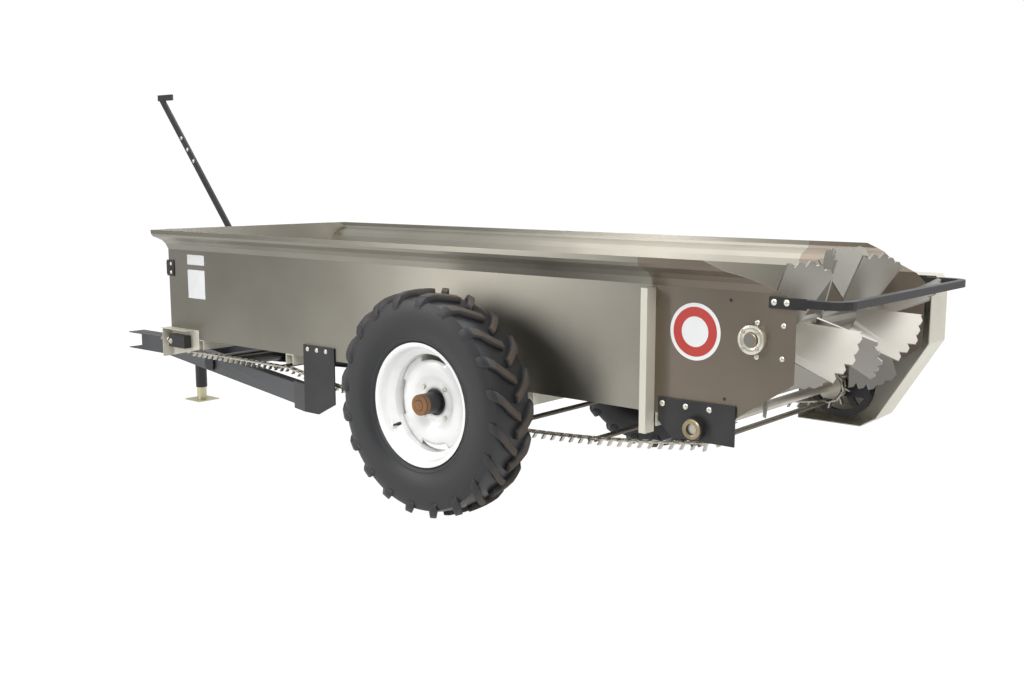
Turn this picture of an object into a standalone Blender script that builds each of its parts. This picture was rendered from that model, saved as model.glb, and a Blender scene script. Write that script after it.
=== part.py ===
"""Towed manure spreader with a stainless box, an apron chain and a paddle beater.

The machine stands on its two wheels and its parking jack.  The hitch faces -Y, the machine's left
side faces +X and the ground is z = 0.  Lengths along the machine are measured from the wheel axle
and turned into row coordinates by along().
"""
import math

import bmesh
import bpy
from mathutils import Matrix, Vector

for old in list(bpy.data.objects):
    bpy.data.objects.remove(old, do_unlink=True)

# ---------------------------------------------------------------- driving dimensions, in metres
GAP = 0.0003                 # left between pieces that touch
CUT = 0.02                   # how far a cutter passes its piece

TONGUE_REACH = 3.06          # axle to the hitch tips
BOX_FRONT = 1.929            # axle to the front wall
BOX_REAR = 1.284             # axle to the rear edge of the box
BAIL_REACH = 1.440           # axle to the outside of the rear bail

BOX_HALF = 0.499             # centre to the outside of a side wall
WALL = 0.003
BOX_BOTTOM = 0.449
FLARE_CREASE = 0.8605        # height where the side wall bends outward
FLARE_WIDTH = 0.090
RIM_TOP = 0.953
PANEL_SEAM = 0.7875          # axle to the joint between side panel and rear panel
WALL_FOOT = 0.029            # inward flange along the wall's lower edge

FLOOR_THICK = 0.012
MEMBER_HEIGHT = 0.045
MEMBER_WIDTH = 0.050
MEMBER_WALL = 0.004

TYRE_RADIUS = 0.4065
TYRE_HALF = 0.100
TRACK_HALF = 0.698
RIM_RADIUS = 0.2225
RIM_HALF = 0.073
RIM_SHEET = 0.004
DISC_HOLE = 0.048
HUB_RADIUS = 0.0375
HUB_FLANGE = 0.090
SPINDLE_RADIUS = 0.0185
SPINDLE_END = 0.771
AXLE_RADIUS = 0.030
AXLE_SHOULDER = 0.595
RUNNING_GAP = 0.001          # between a hub's bore and its spindle

SPROCKET_PITCH = 0.057
CHAIN_HALF = 0.008
CHAIN_WIDTH = 0.030
CHAIN_PLACE = 0.450
SLAT_OUT = 0.012
SLAT_WIDTH = 0.030
SLAT_HALF = 0.465
SLAT_COUNT = 14
IDLER_Y, IDLER_Z = -1.830, 0.435
IDLER_RADIUS = 0.0125
APRON_Y, APRON_Z = 0.958, 0.419
APRON_SHAFT = 0.0175
CHAIN_LEVEL_END = -1.110     # the return strand hangs free behind this place
CHAIN_SAG = 0.078

BEATER_Y, BEATER_Z = 1.147, 0.717
BEATER_TUBE = 0.040
BEATER_SHAFT = 0.0175
BEATER_REACH = 0.275
BEATER_HALF = 0.470
PADDLE_THICK = 0.005
PADDLE_OUTER = 0.205         # width of a paddle at its toothed edge
PADDLE_INNER = 0.130
TOOTH_DEPTH = 0.014
TEETH = 5

TONGUE_BOTTOM, TONGUE_TOP = 0.230, 0.322
TONGUE_TIP_HALF = 0.050
TONGUE_BEND = -2.700
TONGUE_SHEET = 0.005
TONGUE_FLANGE = 0.048
WEB_END = -2.930
HANGER_FRONT, HANGER_REAR = -0.950, -0.755
HANGER_TOP, HANGER_BOTTOM = 0.502, 0.213
BRACKET_PLATE = 0.006

JACK_Y = -2.440
JACK_RADIUS = 0.030
JACK_WALL = 0.004
JACK_BOTTOM = 0.070
LEG_RADIUS = JACK_RADIUS - JACK_WALL - 0.0006
LEG_LENGTH = 0.190
FOOT_SIZE = 0.130
FOOT_THICK = 0.006
TIE_Y = -2.000
TIE_RADIUS = 0.036

LEVER_X = -0.154
LEVER_PIVOT_Y, LEVER_PIVOT_Z = -1.990, 0.490
LEVER_TOP_Y, LEVER_TOP_Z = -2.952, 1.634
LEVER_THICK, LEVER_WIDTH = 0.012, 0.036
LEVER_PIN = 0.006

BAIL_SIDE = 0.025            # square tube
BAIL_Z = 0.835
BAIL_CORNER = 0.070
GUARD_DEPTH = 0.150
SHEET = 0.0025
ROUND = 24                   # sides of a small round piece
TURN_STEPS = 32              # sides of a wheel, a multiple of 4 so that it stands on a corner
HITCH_PIN_Y = -3.020
HITCH_PIN_RADIUS = 0.0135

AXLE_Y = (TONGUE_REACH - BAIL_REACH) / 2
AXLE_Z = TYRE_RADIUS
SIDE = BOX_HALF + GAP        # inner face of whatever is bolted to a side wall
FLOOR_BOTTOM = BOX_BOTTOM + WALL + GAP
FLOOR_TOP = FLOOR_BOTTOM + FLOOR_THICK


def along(y):
    """Row coordinate of a place measured from the axle, rearward."""
    return AXLE_Y + y


# ---------------------------------------------------------------- collections and materials
parts = bpy.data.collections.new("manure_spreader")
cutters = bpy.data.collections.new("cutters")
bpy.context.scene.collection.children.link(parts)
bpy.context.scene.collection.children.link(cutters)


def material(name, colour, roughness, metallic):
    made = bpy.data.materials.new(name)
    made.use_nodes = True
    shader = made.node_tree.nodes["Principled BSDF"]
    shader.inputs["Base Color"].default_value = (*colour, 1.0)
    shader.inputs["Roughness"].default_value = roughness
    shader.inputs["Metallic"].default_value = metallic
    return made


LOOKS = {
    "stainless": ((0.52, 0.50, 0.46), 0.28, 1.0),
    "pale_stainless": ((0.70, 0.68, 0.61), 0.45, 0.9),
    "black": ((0.012, 0.012, 0.013), 0.35, 0.0),
    "charcoal": ((0.045, 0.048, 0.052), 0.45, 0.0),
    "zinc": ((0.62, 0.60, 0.52), 0.38, 0.9),
    "steel": ((0.42, 0.39, 0.33), 0.40, 0.9),
    "rust": ((0.23, 0.13, 0.07), 0.70, 0.4),
    "white": ((0.86, 0.86, 0.85), 0.22, 0.0),
    "tyre": ((0.022, 0.024, 0.027), 0.80, 0.0),
    "floor": ((0.10, 0.085, 0.065), 0.70, 0.0),
}


def look_for(name, look):
    """A material of its own for each sub-part."""
    return material(name, *LOOKS[look])


# ---------------------------------------------------------------- shape tools
def finish(name, mesh, look, home=parts, smooth=False):
    mesh.name = name
    obj = bpy.data.objects.new(name, mesh)
    home.objects.link(obj)
    if home is cutters:
        obj.hide_render = True
        obj.display_type = "WIRE"
    else:
        mesh.materials.clear()
        mesh.materials.append(look_for(name, look))
    if smooth:
        mesh.shade_smooth()
        mesh.set_sharp_from_angle(angle=math.radians(35))
    return obj


def box(name, look, x, y, z, home=parts):
    """A box between two values on each axis."""
    bm = bmesh.new()
    size = Matrix.Diagonal((x[1] - x[0], y[1] - y[0], z[1] - z[0], 1))
    centre = Matrix.Translation(((x[0] + x[1]) / 2, (y[0] + y[1]) / 2, (z[0] + z[1]) / 2))
    bmesh.ops.create_cube(bm, size=1, matrix=centre @ size)
    mesh = bpy.data.meshes.new(name)
    bm.to_mesh(mesh)
    bm.free()
    return finish(name, mesh, look, home)


def bar(name, look, axis, at, lo, hi, radius, home=parts, sides=ROUND):
    """A round bar along an axis; at holds its two other coordinates, in X, Y, Z order."""
    bm = bmesh.new()
    bmesh.ops.create_cone(
        bm, cap_ends=True, segments=sides, radius1=radius, radius2=radius, depth=hi - lo
    )
    middle = (lo + hi) / 2
    place = {"X": (middle, *at), "Y": (at[0], middle, at[1]), "Z": (*at, middle)}[axis]
    turn = {"X": Matrix.Rotation(math.pi / 2, 4, "Y"), "Y": Matrix.Rotation(math.pi / 2, 4, "X")}
    bm.transform(Matrix.Translation(place) @ turn.get(axis, Matrix.Identity(4)))
    mesh = bpy.data.meshes.new(name)
    bm.to_mesh(mesh)
    bm.free()
    return finish(name, mesh, look, home, smooth=True)


def plate(name, look, plane, outline, lo, hi, holes=(), inner=(), home=parts):
    """A flat outline in the YZ, XZ or XY plane, with holes, extruded between two values."""
    curve = bpy.data.curves.new(name, "CURVE")
    curve.dimensions = "2D"
    curve.fill_mode = "BOTH"
    curve.extrude = (hi - lo) / 2
    loops = [outline, *inner]
    for centre_u, centre_v, radius in holes:
        turns = [2 * math.pi * i / ROUND for i in range(ROUND)]
        loops.append(
            [(centre_u + radius * math.cos(a), centre_v + radius * math.sin(a)) for a in turns]
        )
    for loop in loops:
        spline = curve.splines.new("POLY")
        spline.points.add(len(loop) - 1)
        for point, (u, v) in zip(spline.points, loop):
            point.co = (u, v, 0, 1)
        spline.use_cyclic_u = True
    holder = bpy.data.objects.new(name + "_outline", curve)
    home.objects.link(holder)
    bpy.context.view_layer.update()
    flat = bpy.data.meshes.new_from_object(holder.evaluated_get(bpy.context.evaluated_depsgraph_get()))
    bpy.data.objects.remove(holder, do_unlink=True)
    bpy.data.curves.remove(curve)
    bm = bmesh.new()
    bm.from_mesh(flat)
    bpy.data.meshes.remove(flat)
    bmesh.ops.remove_doubles(bm, verts=bm.verts, dist=0.00001)
    middle = (lo + hi) / 2
    turn = {
        "YZ": Matrix(((0, 0, 1, middle), (1, 0, 0, 0), (0, 1, 0, 0), (0, 0, 0, 1))),
        "XZ": Matrix(((1, 0, 0, 0), (0, 0, -1, middle), (0, 1, 0, 0), (0, 0, 0, 1))),
        "XY": Matrix.Translation((0, 0, middle)),
    }[plane]
    bm.transform(turn)
    bmesh.ops.recalc_face_normals(bm, faces=bm.faces)
    if bm.calc_volume(signed=True) < 0:
        bmesh.ops.reverse_faces(bm, faces=bm.faces)
    mesh = bpy.data.meshes.new(name)
    bm.to_mesh(mesh)
    bm.free()
    return finish(name, mesh, look, home)


def turned(name, look, profile, centre_x, flip=1):
    """A closed (radius, x) profile turned about the wheel axis; flip -1 is the right-hand side."""
    mesh = bpy.data.meshes.new(name)
    bm = bmesh.new()
    points = [(radius, height * flip) for radius, height in profile]
    area = sum(r * points[i - 1][1] - points[i - 1][0] * h for i, (r, h) in enumerate(points))
    if area < 0:
        points.reverse()
    ring = [bm.verts.new((radius, 0, height)) for radius, height in points]
    for i, vert in enumerate(ring):
        bm.edges.new((vert, ring[(i + 1) % len(ring)]))
    bm.to_mesh(mesh)
    bm.free()
    obj = finish(name, mesh, look)
    screw = obj.modifiers.new("turn", "SCREW")
    screw.axis = "Z"
    screw.steps = TURN_STEPS
    screw.render_steps = TURN_STEPS
    screw.use_merge_vertices = True
    screw.merge_threshold = 0.0001
    screw.use_smooth_shade = True
    obj.location = (centre_x * flip, AXLE_Y, AXLE_Z)
    obj.rotation_euler = (0, math.pi / 2, 0)
    return obj


def combine(target, tool, operation):
    """Joins or cuts one object with another, and keeps the tool hidden among the cutters."""
    step = target.modifiers.new(operation.lower(), "BOOLEAN")
    step.operation = operation
    step.solver = "EXACT"
    step.object = tool
    if tool.name in parts.objects:
        parts.objects.unlink(tool)
        cutters.objects.link(tool)
    tool.hide_render = True
    tool.display_type = "WIRE"
    return target


def joined(first, *others):
    for other in others:
        combine(first, other, "UNION")
    return first


def cut(target, *tools):
    for tool in tools:
        combine(target, tool, "DIFFERENCE")
    return target


def mirrored(points):
    return [(-u, v) for u, v in reversed(points)]


SIDES = (("left", 1), ("right", -1))


def span(side, lo, hi):
    """Two X values, mirrored for the right-hand side."""
    return (lo, hi) if side > 0 else (-hi, -lo)


# ---------------------------------------------------------------- box
FLARE = [  # (share of the flare's width, share of its height) from the crease to the lip
    (0.00, 0.00), (0.14, 0.26), (0.35, 0.46), (0.63, 0.58), (0.88, 0.67), (0.98, 0.80), (1.00, 1.00),
]


def flare_line(inset):
    """Points of the flare, moved inward by inset."""
    rise = RIM_TOP - FLARE_CREASE
    line = []
    for i, (across, up) in enumerate(FLARE):
        before = FLARE[max(i - 1, 0)]
        after = FLARE[min(i + 1, len(FLARE) - 1)]
        run = Vector(((after[0] - before[0]) * FLARE_WIDTH, (after[1] - before[1]) * rise))
        if i in (0, len(FLARE) - 1):
            run = Vector((0, 1))
        run.normalize()
        line.append(
            (
                BOX_HALF + across * FLARE_WIDTH - run.y * inset,
                FLARE_CREASE + up * rise + run.x * inset,
            )
        )
    return line


def wall_section():
    """Cross-section of the left side wall, foot flange to rim."""
    foot = BOX_HALF - WALL_FOOT
    outer = [(foot, BOX_BOTTOM), (BOX_HALF, BOX_BOTTOM)] + flare_line(0)
    inner = list(reversed(flare_line(WALL)))
    inner += [(BOX_HALF - WALL, BOX_BOTTOM + WALL), (foot, BOX_BOTTOM + WALL)]
    return outer + inner


REAR_EDGE = [  # the rear end of the box in side view, (from the axle, height), bottom to top
    (1.075, BOX_BOTTOM - CUT), (1.098, 0.469), (BOX_REAR, 0.594), (BOX_REAR, 0.826), (1.248, 0.858),
    (1.021, RIM_TOP), (1.021, RIM_TOP + CUT),
]


def wall(name, look, side, y_front, y_rear):
    """A length of side wall, cut to the slopes at the rear end of the box."""
    section = wall_section() if side > 0 else mirrored(wall_section())
    piece = plate(name, look, "XZ", section, along(y_front), along(y_rear))
    if y_rear == BOX_REAR:
        outline = [(along(0), BOX_BOTTOM - CUT)] + [(along(y), z) for y, z in REAR_EDGE]
        outline.append((along(0), RIM_TOP + CUT))
        reach = BOX_HALF + FLARE_WIDTH + CUT
        keep = plate(name + "_keep", look, "YZ", outline, *span(side, BOX_HALF - 2 * WALL_FOOT, reach),
                     home=cutters)
        combine(piece, keep, "INTERSECT")
        hole = bar(name + "_hole", look, "X", (along(BEATER_Y), BEATER_Z),
                   *span(side, BOX_HALF - CUT, BOX_HALF + CUT), BEATER_SHAFT + 0.002, home=cutters)
        cut(piece, hole)
    return piece


for word, side in SIDES:
    wall("side_panel_" + word, "stainless", side, -BOX_FRONT, PANEL_SEAM - GAP)
    wall("rear_panel_" + word, "stainless", side, PANEL_SEAM, BOX_REAR)

front_inner = BOX_HALF - WALL - GAP
front_half = [(front_inner, BOX_BOTTOM + WALL + GAP)]
front_half += [(x - GAP, z) for x, z in flare_line(WALL)]
front_outline = front_half + mirrored(front_half)
front_plate = plate("front_wall", "stainless", "XZ", front_outline, along(-BOX_FRONT),
                    along(-BOX_FRONT) + WALL)
front_hem = box("front_hem", "stainless", (-front_inner, front_inner),
                (along(-BOX_FRONT) - 0.018, along(-BOX_FRONT) + WALL), (RIM_TOP - WALL, RIM_TOP))
joined(front_plate, front_hem)

loop_room = SPROCKET_PITCH + SLAT_OUT + 0.004
floor_front = IDLER_Y + loop_room
floor_rear = APRON_Y - loop_room
box("floor", "floor", (-front_inner, front_inner), (along(floor_front), along(floor_rear)),
    (FLOOR_BOTTOM, FLOOR_TOP))

MEMBER_PLACES = (-1.700, -1.050, -0.400, 0.270, 0.830)
member_top = BOX_BOTTOM - GAP
member_bottom = member_top - MEMBER_HEIGHT
for number, place in enumerate(MEMBER_PLACES, 1):
    front, rear = along(place) - MEMBER_WIDTH / 2, along(place) + MEMBER_WIDTH / 2
    section = [
        (front, member_bottom), (front + MEMBER_WALL, member_bottom),
        (front + MEMBER_WALL, member_top - MEMBER_WALL), (rear - MEMBER_WALL, member_top - MEMBER_WALL),
        (rear - MEMBER_WALL, member_bottom), (rear, member_bottom), (rear, member_top),
        (front, member_top),
    ]
    plate(f"cross_member_{number}", "pale_stainless", "YZ", section, -BOX_HALF, BOX_HALF)

STAKE_Y, STAKE_WIDTH, STAKE_DEPTH = 0.775, 0.025, 0.050
for word, side in SIDES:
    box("stake_" + word, "pale_stainless", span(side, SIDE, SIDE + STAKE_DEPTH),
        (along(STAKE_Y), along(STAKE_Y + STAKE_WIDTH)), (0.385, 0.853))

# ---------------------------------------------------------------- tongue
tongue_end_x = SIDE - 2 * GAP
lean = (tongue_end_x - TONGUE_TIP_HALF) / (HANGER_FRONT - TONGUE_BEND)
TONGUE_END = HANGER_FRONT - 0.012


def channel_strip(width, front):
    """Plan outline of a strip along the left channel's outer face."""
    end_x = TONGUE_TIP_HALF + lean * (TONGUE_END - TONGUE_BEND)
    return [
        (TONGUE_TIP_HALF, along(front)), (TONGUE_TIP_HALF, along(TONGUE_BEND)),
        (end_x, along(TONGUE_END)), (end_x - width, along(TONGUE_END)),
        (TONGUE_TIP_HALF - width, along(TONGUE_BEND)), (TONGUE_TIP_HALF - width, along(front)),
    ]


for word, side in SIDES:
    strips = []
    for label, width, front, z_lo, z_hi in (
        ("web", TONGUE_SHEET, WEB_END, TONGUE_BOTTOM, TONGUE_TOP),
        ("upper", TONGUE_FLANGE, -TONGUE_REACH, TONGUE_TOP - TONGUE_SHEET, TONGUE_TOP),
        ("lower", TONGUE_FLANGE, -TONGUE_REACH, TONGUE_BOTTOM, TONGUE_BOTTOM + TONGUE_SHEET),
    ):
        outline = channel_strip(width, front)
        outline = outline if side > 0 else mirrored(outline)
        node = "tongue_" + word if label == "web" else f"tongue_{word}_{label}"
        strips.append(plate(node, "charcoal", "XY", outline, z_lo, z_hi))
    channel = joined(*strips)
    tie_z = (TONGUE_BOTTOM + TONGUE_TOP) / 2
    hole = bar(f"tongue_{word}_hole", "charcoal", "X", (along(TIE_Y), tie_z), *span(side, 0.10, 0.40),
               TIE_RADIUS + GAP, home=cutters)
    pin_hole = bar(f"tongue_{word}_pin_hole", "charcoal", "Z", (0, along(HITCH_PIN_Y)), TONGUE_BOTTOM - CUT,
                   TONGUE_TOP + CUT, HITCH_PIN_RADIUS, home=cutters)
    cut(channel, hole, pin_hole)

tie_half = TONGUE_TIP_HALF + lean * (TIE_Y - TONGUE_BEND) + 0.022
bar("tongue_tie", "black", "X", (along(TIE_Y), tie_z), -tie_half, tie_half, TIE_RADIUS)

for word, side in SIDES:
    outline = [(along(y), z) for y, z in (
        (HANGER_FRONT, HANGER_BOTTOM), (-0.861, HANGER_BOTTOM), (HANGER_REAR, 0.267),
        (HANGER_REAR, HANGER_TOP), (HANGER_FRONT, HANGER_TOP),
    )]
    face = plate("hanger_" + word, "black", "YZ", outline, *span(side, SIDE, SIDE + BRACKET_PLATE))
    flanges = []
    for label, reach, z_lo, z_hi in (("foot", 0.100, HANGER_BOTTOM, TONGUE_TOP + 0.010),
                                     ("lip", 0.030, TONGUE_TOP, HANGER_TOP)):
        outline = [
            (SIDE, along(HANGER_FRONT)), (SIDE, along(HANGER_FRONT) + BRACKET_PLATE),
            (SIDE + BRACKET_PLATE, along(HANGER_FRONT) + BRACKET_PLATE),
            (SIDE + BRACKET_PLATE, along(HANGER_FRONT)),
            (SIDE + BRACKET_PLATE - lean * reach, along(HANGER_FRONT) - reach),
            (SIDE - lean * reach, along(HANGER_FRONT) - reach),
        ]
        if label == "lip":
            outline = [(x, y) for x, y in outline if y > along(HANGER_FRONT) - reach - GAP]
        outline = outline if side > 0 else mirrored(outline)
        flanges.append(plate(f"hanger_{word}_{label}", "black", "XY", outline, z_lo, z_hi))
    joined(face, *flanges[:1])
    bpy.data.objects.remove(flanges[1], do_unlink=True)

# ---------------------------------------------------------------- parking jack
jack_top = TONGUE_TOP + GAP
jack_plate = box("jack_tube", "black", (-0.095, 0.095), (along(JACK_Y) - 0.060, along(JACK_Y) + 0.060),
                 (jack_top, jack_top + 0.008))
jack_sleeve = bar("jack_sleeve", "black", "Z", (0, along(JACK_Y)), JACK_BOTTOM, jack_top + 0.004,
                  JACK_RADIUS)
jack_bore = bar("jack_bore", "black", "Z", (0, along(JACK_Y)), JACK_BOTTOM - CUT, jack_top - 0.004,
                JACK_RADIUS - JACK_WALL, home=cutters)
cut(joined(jack_plate, jack_sleeve), jack_bore)

jack_leg = bar("jack_leg", "zinc", "Z", (0, along(JACK_Y)), FOOT_THICK / 2, LEG_LENGTH, LEG_RADIUS)
half_foot = FOOT_SIZE / 2
jack_foot = box("jack_foot", "zinc", (-half_foot, half_foot),
                (along(JACK_Y) - half_foot, along(JACK_Y) + half_foot), (0, FOOT_THICK))
joined(jack_leg, jack_foot)

# ---------------------------------------------------------------- control lever
lever_lean = math.atan2(LEVER_PIVOT_Y - LEVER_TOP_Y, LEVER_TOP_Z - LEVER_PIVOT_Z)
lever_length = math.hypot(LEVER_PIVOT_Y - LEVER_TOP_Y, LEVER_TOP_Z - LEVER_PIVOT_Z)
half = LEVER_WIDTH / 2
GRIP = 0.135
stick = [(-half, -0.025), (half, -0.025), (half, lever_length)]
stick += [(-half, lever_length)]
lever = plate("lever", "black", "YZ", stick, LEVER_X - LEVER_THICK / 2, LEVER_X + LEVER_THICK / 2,
              holes=[(0, 0, LEVER_PIN + 0.0007)])
lean_back = Matrix.Rotation(lever_lean, 4, "X")
lever.data.transform(lean_back)
grip_front = LEVER_TOP_Y - LEVER_PIVOT_Y - 0.022
grip_z = LEVER_TOP_Z - LEVER_PIVOT_Z
grip = box("lever_grip", "black", (LEVER_X - LEVER_THICK / 2, LEVER_X + LEVER_THICK / 2),
           (grip_front, grip_front + GRIP), (grip_z - 0.020, grip_z + 0.012))
lever.location = grip.location = (0, along(LEVER_PIVOT_Y), LEVER_PIVOT_Z)
joined(lever, grip)

front_face = along(-BOX_FRONT) - GAP
mount_plate = box("lever_mount", "black", (LEVER_X - 0.045, LEVER_X + 0.045),
                  (front_face - 0.004, front_face), (0.458, 0.545))
ear_face = LEVER_X - LEVER_THICK / 2 - 0.002
ear = box("lever_ear", "black", (ear_face - 0.008, ear_face), (along(LEVER_PIVOT_Y) - 0.020, front_face - 0.002),
          (LEVER_PIVOT_Z - 0.020, LEVER_PIVOT_Z + 0.020))
pin_end = LEVER_X + LEVER_THICK / 2 + 0.003
pin = bar("lever_pin", "zinc", "X", (along(LEVER_PIVOT_Y), LEVER_PIVOT_Z), ear_face - 0.004, pin_end,
          LEVER_PIN)
head = bar("lever_pin_head", "zinc", "X", (along(LEVER_PIVOT_Y), LEVER_PIVOT_Z), pin_end - 0.001,
           pin_end + 0.006, LEVER_PIN * 1.8)
joined(mount_plate, ear, pin, head)

# ---------------------------------------------------------------- apron take-up at the front
TAKEUP_FRONT, TAKEUP_REAR = -1.930, -1.705
TAKEUP_FLANGE = 0.050
BLOCK_FRONT, BLOCK_REAR = -1.893, -1.767
rod_z = IDLER_Z
rod_x = SIDE + WALL + 0.020
for word, side in SIDES:
    outline = [(along(y), z) for y, z in (
        (TAKEUP_FRONT, 0.356), (TAKEUP_REAR, 0.403), (TAKEUP_REAR, 0.492), (TAKEUP_FRONT, 0.492),
    )]
    web = plate("takeup_bracket_" + word, "pale_stainless", "YZ", outline, *span(side, SIDE, SIDE + WALL))
    front = box(f"takeup_{word}_front", "pale_stainless", span(side, SIDE, SIDE + TAKEUP_FLANGE),
                (along(TAKEUP_FRONT), along(TAKEUP_FRONT) + WALL), (0.356, 0.492))
    top = box(f"takeup_{word}_top", "pale_stainless", span(side, SIDE, SIDE + TAKEUP_FLANGE),
              (along(TAKEUP_FRONT) - 0.012, along(TAKEUP_REAR) - 0.035), (0.489, 0.492))
    joined(web, front, top)
    slot = box(f"takeup_{word}_slot", "pale_stainless", span(side, SIDE - CUT / 4, SIDE + CUT / 2),
               (along(IDLER_Y) - 0.040, along(IDLER_Y) + 0.030), (IDLER_Z - 0.0135, IDLER_Z + 0.0135),
               home=cutters)
    rod_hole = bar(f"takeup_{word}_rod_hole", "pale_stainless", "Y", (side * rod_x, rod_z),
                   along(TAKEUP_FRONT) - CUT, along(TAKEUP_FRONT) + CUT, 0.0065, home=cutters)
    cut(web, slot, rod_hole)

    block = box("takeup_block_" + word, "black", span(side, SIDE + WALL + GAP, SIDE + WALL + 0.038),
                (along(BLOCK_FRONT), along(BLOCK_REAR)), (0.4055, 0.4645))
    bore = bar(f"takeup_{word}_bore", "black", "X", (along(IDLER_Y), IDLER_Z),
               *span(side, SIDE - CUT, SIDE + WALL + 0.030), IDLER_RADIUS + GAP, home=cutters)
    rod = bar(f"takeup_{word}_rod", "zinc", "Y", (side * rod_x, rod_z), along(-1.985),
              along(BLOCK_FRONT) + 0.004, 0.006)
    joined(cut(block, bore), rod)

idler_half = SIDE + WALL + 0.028
idler = bar("idler_shaft", "steel", "X", (along(IDLER_Y), IDLER_Z), -idler_half, idler_half,
            IDLER_RADIUS)
WHEEL_FIT = 0.0008           # a chain wheel's clearance inside the chain's faceted bend
sprocket_radius = SPROCKET_PITCH - CHAIN_HALF - WHEEL_FIT
for label, side in SIDES:
    ring = bar(f"idler_wheel_{label}", "steel", "X", (along(IDLER_Y), IDLER_Z),
               *span(side, CHAIN_PLACE - 0.006, CHAIN_PLACE + 0.006), sprocket_radius)
    joined(idler, ring)

# ---------------------------------------------------------------- apron drive shaft at the rear
apron_far, apron_near = -0.600, 0.522
apron_shaft = bar("apron_shaft", "steel", "X", (along(APRON_Y), APRON_Z), apron_far, apron_near,
                  APRON_SHAFT)
for label, side in SIDES:
    ring = bar(f"apron_sprocket_{label}", "steel", "X", (along(APRON_Y), APRON_Z),
               *span(side, CHAIN_PLACE - 0.006, CHAIN_PLACE + 0.006), sprocket_radius)
    joined(apron_shaft, ring)

BEARING_OUT = 0.024
for word, side in SIDES:
    outline = [(along(y), z) for y, z in (
        (0.819, 0.426), (0.871, 0.378), (1.096, 0.378), (1.097, 0.506), (0.817, 0.503),
    )]
    plate("bearing_plate_" + word, "black", "YZ", outline, *span(side, SIDE, SIDE + BRACKET_PLATE),
          holes=[(along(APRON_Y), APRON_Z, APRON_SHAFT + GAP)])
    boss_inner = SIDE + BRACKET_PLATE + GAP
    boss = bar("apron_bearing_" + word, "rust", "X", (along(APRON_Y), APRON_Z),
               *span(side, boss_inner, boss_inner + BEARING_OUT), 0.037)
    bore = bar(f"apron_bearing_{word}_bore", "rust", "X", (along(APRON_Y), APRON_Z),
               *span(side, boss_inner - CUT, boss_inner + BEARING_OUT + CUT), APRON_SHAFT + GAP,
               home=cutters)
    cut(boss, bore)

SPOKED_RADIUS, SPOKED_RIM, SPOKED_X, SPOKED_THICK = 0.133, 0.026, -0.562, 0.014
spoked = bar("spoked_wheel", "black", "X", (along(APRON_Y), APRON_Z), SPOKED_X, SPOKED_X + SPOKED_THICK,
             SPOKED_RADIUS, sides=48)
well = bar("spoked_wheel_well", "black", "X", (along(APRON_Y), APRON_Z), SPOKED_X - CUT,
           SPOKED_X + SPOKED_THICK + CUT, SPOKED_RADIUS - SPOKED_RIM, home=cutters, sides=48)
cut(spoked, well)
for turn in range(5):
    angle = math.radians(90 + 72 * turn)
    reach = SPOKED_RADIUS - SPOKED_RIM / 2
    spoke = box(f"spoke_{turn}", "black", (SPOKED_X + 0.001, SPOKED_X + SPOKED_THICK - 0.001), (0, reach),
                (-0.011, 0.011))
    spoke.data.transform(Matrix.Rotation(angle, 4, "X"))
    spoke.data.transform(Matrix.Translation((0, along(APRON_Y), APRON_Z)))
    joined(spoked, spoke)
boss = bar("spoked_wheel_boss", "black", "X", (along(APRON_Y), APRON_Z), SPOKED_X - 0.008,
           SPOKED_X + SPOKED_THICK + 0.008, 0.034)
spoked_bore = bar("spoked_wheel_bore", "black", "X", (along(APRON_Y), APRON_Z), SPOKED_X - CUT,
                  SPOKED_X + SPOKED_THICK + CUT, APRON_SHAFT + GAP, home=cutters)
cut(joined(spoked, boss), spoked_bore)

# ---------------------------------------------------------------- apron chain and slats
ARC_STEPS = 12
STRAND_STEPS = 16


def return_height(y):
    """Height of the return strand, level at the front and hanging behind it."""
    front_z, rear_z = IDLER_Z - SPROCKET_PITCH, APRON_Z - SPROCKET_PITCH
    if y <= CHAIN_LEVEL_END:
        return front_z
    share = (y - CHAIN_LEVEL_END) / (APRON_Y - CHAIN_LEVEL_END)
    return front_z + (rear_z - front_z) * share - CHAIN_SAG * 4 * share * (1 - share)


def apron_path():
    """The chain's pitch line: over the top rearward, round the sprocket, back below."""
    path = []
    for i in range(ARC_STEPS + 1):
        angle = math.radians(90 - 180 * i / ARC_STEPS)
        path.append((APRON_Y + SPROCKET_PITCH * math.cos(angle), APRON_Z + SPROCKET_PITCH * math.sin(angle)))
    for i in range(1, STRAND_STEPS):
        y = APRON_Y + (CHAIN_LEVEL_END - APRON_Y) * i / STRAND_STEPS
        path.append((y, return_height(y)))
    path.append((CHAIN_LEVEL_END, return_height(CHAIN_LEVEL_END)))
    for i in range(ARC_STEPS + 1):
        angle = math.radians(270 - 180 * i / ARC_STEPS)
        path.append((IDLER_Y + SPROCKET_PITCH * math.cos(angle), IDLER_Z + SPROCKET_PITCH * math.sin(angle)))
    return [Vector(point) for point in path]


def offset_loop(path, distance):
    """The path moved outward, away from the inside of the loop."""
    moved = []
    count = len(path)
    for i, point in enumerate(path):
        run = (path[(i + 1) % count] - path[i - 1]).normalized()
        moved.append((along(point.x - run.y * distance), point.y + run.x * distance))
    return moved


loop = apron_path()
chain_outer = offset_loop(loop, CHAIN_HALF)
chain_inner = offset_loop(loop, -CHAIN_HALF)


apron = plate("apron", "steel", "YZ", chain_outer, CHAIN_PLACE - CHAIN_WIDTH / 2,
              CHAIN_PLACE + CHAIN_WIDTH / 2, inner=[chain_inner])
second = plate("apron_chain_right", "steel", "YZ", chain_outer, -CHAIN_PLACE - CHAIN_WIDTH / 2,
               -CHAIN_PLACE + CHAIN_WIDTH / 2, inner=[chain_inner])

lengths = [(loop[(i + 1) % len(loop)] - point).length for i, point in enumerate(loop)]
spacing = sum(lengths) / SLAT_COUNT
SLAT_START = 0.205


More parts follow.
